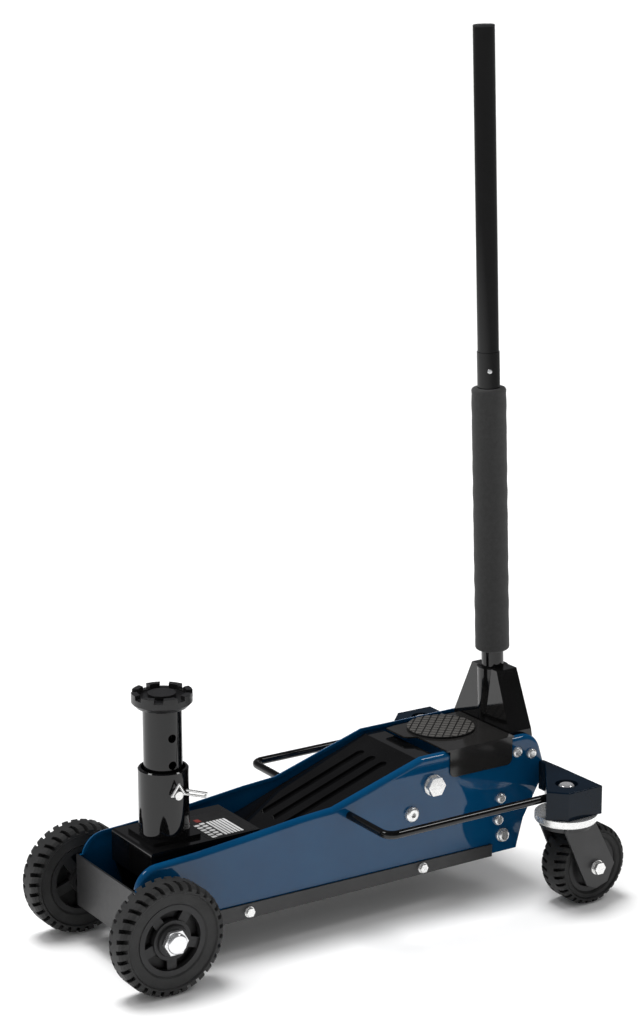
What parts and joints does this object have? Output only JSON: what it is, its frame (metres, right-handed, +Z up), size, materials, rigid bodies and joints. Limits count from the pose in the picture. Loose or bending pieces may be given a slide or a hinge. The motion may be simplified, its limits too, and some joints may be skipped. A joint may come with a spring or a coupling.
{
  "type": "trolley jack",
  "caption": "Off-road trolley jack: wheeled chassis, lift arm with a level pin-locked post and toothed saddle, carry rods, swivel casters and a long upright handle.",
  "frame": {"origin": "centre of the bounding box on the floor the wheels stand on", "axes": "+X towards the saddle end, +Y to the jack's left, +Z up"},
  "size_m": [0.832, 0.467, 1.2941],
  "materials": {
    "navy_paint": "gloss",
    "black_paint": "gloss",
    "grey_paint": "satin",
    "zinc": "satin",
    "chrome": "polished",
    "tread": "matte",
    "hub_plastic": "satin",
    "foam": "matte",
    "pad_rubber": "matte",
    "cast": "rough",
    "steel": "satin"
  },
  "bodies": {
    "chassis": {"side_plate_left": "navy_paint", "side_plate_right": "navy_paint", "skid_plate": "grey_paint", "skid_bolts": "zinc", "front_axle": "black_paint", "axle_spacers": "black_paint", "axle_nuts": "chrome", "rear_tie_rod": "steel", "tie_rod_nuts": "zinc", "frame_bolts": "zinc", "arm_shaft": "steel", "arm_shaft_nuts": "zinc", "link_anchor_bolts": "zinc", "spring_anchor": "black_paint", "swivel_races": "zinc", "kingpin_nuts": "chrome", "carry_rod_left": "black_paint", "carry_rod_right": "black_paint", "bracket_left": "black_paint", "bracket_right": "black_paint", "pump_block": "cast", "reservoir": "cast", "filler_plug": "steel", "cover_plate": "black_paint", "cover_pad": "pad_rubber", "yoke_pivot_bolts": "zinc", "return_springs": "steel"},
    "front_wheel_left": {"front_tyre_left": "tread", "front_hub_left": "hub_plastic"},
    "front_wheel_right": {"front_tyre_right": "tread", "front_hub_right": "hub_plastic"},
    "caster_left": {"caster_fork_left": "grey_paint", "caster_axle_left": "zinc"},
    "caster_right": {"caster_fork_right": "grey_paint", "caster_axle_right": "zinc"},
    "caster_wheel_left": {"caster_tyre_left": "tread", "caster_hub_left": "hub_plastic"},
    "caster_wheel_right": {"caster_tyre_right": "tread", "caster_hub_right": "hub_plastic"},
    "arm": {"lift_arm": "black_paint", "arm_roller": "steel"},
    "links": {"level_links": "black_paint"},
    "carrier": {"saddle_carrier": "black_paint", "arm_tip_pins": "steel", "link_tip_pins": "steel", "post_sleeve": "black_paint", "extension_tube": "black_paint"},
    "saddle_pad": {"saddle": "black_paint"},
    "pin": {"lock_pin": "zinc", "pin_clip": "zinc"},
    "ram": {"ram_rod": "steel"},
    "plunger": {"pump_plunger": "steel"},
    "valve": {"release_valve": "steel"},
    "yoke": {"handle_yoke": "black_paint", "yoke_roller": "steel"},
    "handle": {"lower_tube": "black_paint", "foam_grip": "foam", "upper_tube": "black_paint", "handle_cap": "hub_plastic"},
    "button": {"snap_button": "chrome"}
  },
  "joints": [
    {"name": "front_wheel_left_spin", "type": "hinge", "parent": "chassis", "child": "front_wheel_left", "pos_m": [0.3335, 0.1315, 0.0825], "axis": [0, 1, 0], "continuous": true},
    {"name": "caster_left_swivel", "type": "hinge", "parent": "chassis", "child": "caster_left", "pos_m": [-0.32, 0.1865, 0.14], "axis": [0, 0, 1], "continuous": true},
    {"name": "caster_wheel_left_spin", "type": "hinge", "parent": "caster_left", "child": "caster_wheel_left", "pos_m": [-0.354, 0.1865, 0.062], "axis": [0, 1, 0], "continuous": true},
    {"name": "front_wheel_right_spin", "type": "hinge", "parent": "chassis", "child": "front_wheel_right", "pos_m": [0.3335, -0.1315, 0.0825], "axis": [0, 1, 0], "continuous": true},
    {"name": "caster_right_swivel", "type": "hinge", "parent": "chassis", "child": "caster_right", "pos_m": [-0.32, -0.1865, 0.14], "axis": [0, 0, 1], "continuous": true},
    {"name": "caster_wheel_right_spin", "type": "hinge", "parent": "caster_right", "child": "caster_wheel_right", "pos_m": [-0.354, -0.1865, 0.062], "axis": [0, 1, 0], "continuous": true},
    {"name": "arm_lift", "type": "hinge", "parent": "chassis", "child": "arm", "pos_m": [-0.1485, 0, 0.192], "axis": [0, -1, 0], "range_deg": [0, 50]},
    {"name": "carrier_level", "type": "hinge", "parent": "arm", "child": "carrier", "pos_m": [0.2385, 0, 0.112], "axis": [0, -1, 0], "range_deg": [-50, 0]},
    {"name": "link_swing", "type": "hinge", "parent": "chassis", "child": "links", "pos_m": [-0.1095, 0, 0.154], "axis": [0, -1, 0], "range_deg": [0, 50]},
    {"name": "ram_stroke", "type": "slide", "parent": "chassis", "child": "ram", "axis": [1, 0, 0], "range_m": [0, 0.056], "deforming": ["return_springs"]},
    {"name": "saddle_turn", "type": "hinge", "parent": "carrier", "child": "saddle_pad", "pos_m": [0.2605, 0, 0.37], "axis": [0, 0, 1], "continuous": true},
    {"name": "lock_pin_pull", "type": "slide", "parent": "carrier", "child": "pin", "axis": [0, 1, 0], "range_m": [0, 0.1]},
    {"name": "handle_pump", "type": "hinge", "parent": "chassis", "child": "yoke", "pos_m": [-0.3305, 0, 0.2063], "axis": [0, -1, 0], "range_deg": [0, 50]},
    {"name": "handle_twist", "type": "hinge", "parent": "yoke", "child": "handle", "pos_m": [-0.3191, 0, 0.3341], "axis": [0.0332, 0, 0.9995], "range_deg": [-20, 160]},
    {"name": "plunger_stroke", "type": "slide", "parent": "chassis", "child": "plunger", "axis": [1, 0, 0], "range_m": [0, 0.0345]},
    {"name": "valve_turn", "type": "hinge", "parent": "chassis", "child": "valve", "pos_m": [-0.2605, 0, 0.19], "axis": [0, 0, 1], "range_deg": [-20, 160]},
    {"name": "button_press", "type": "slide", "parent": "handle", "child": "button", "axis": [-0.4997, -0.866, 0.0166], "range_m": [0, 0.004], "stiffness_N_per_m": 300}
  ],
  "couplings": [
    {"joint": "carrier_level", "follows": "arm_lift", "ratio": -1},
    {"joint": "link_swing", "follows": "arm_lift", "ratio": 1},
    {"joint": "ram_stroke", "follows": "arm_lift", "m_per_rad": 0.063},
    {"joint": "plunger_stroke", "follows": "handle_pump", "m_per_rad": 0.0386},
    {"joint": "valve_turn", "follows": "handle_twist", "ratio": 1}
  ]
}
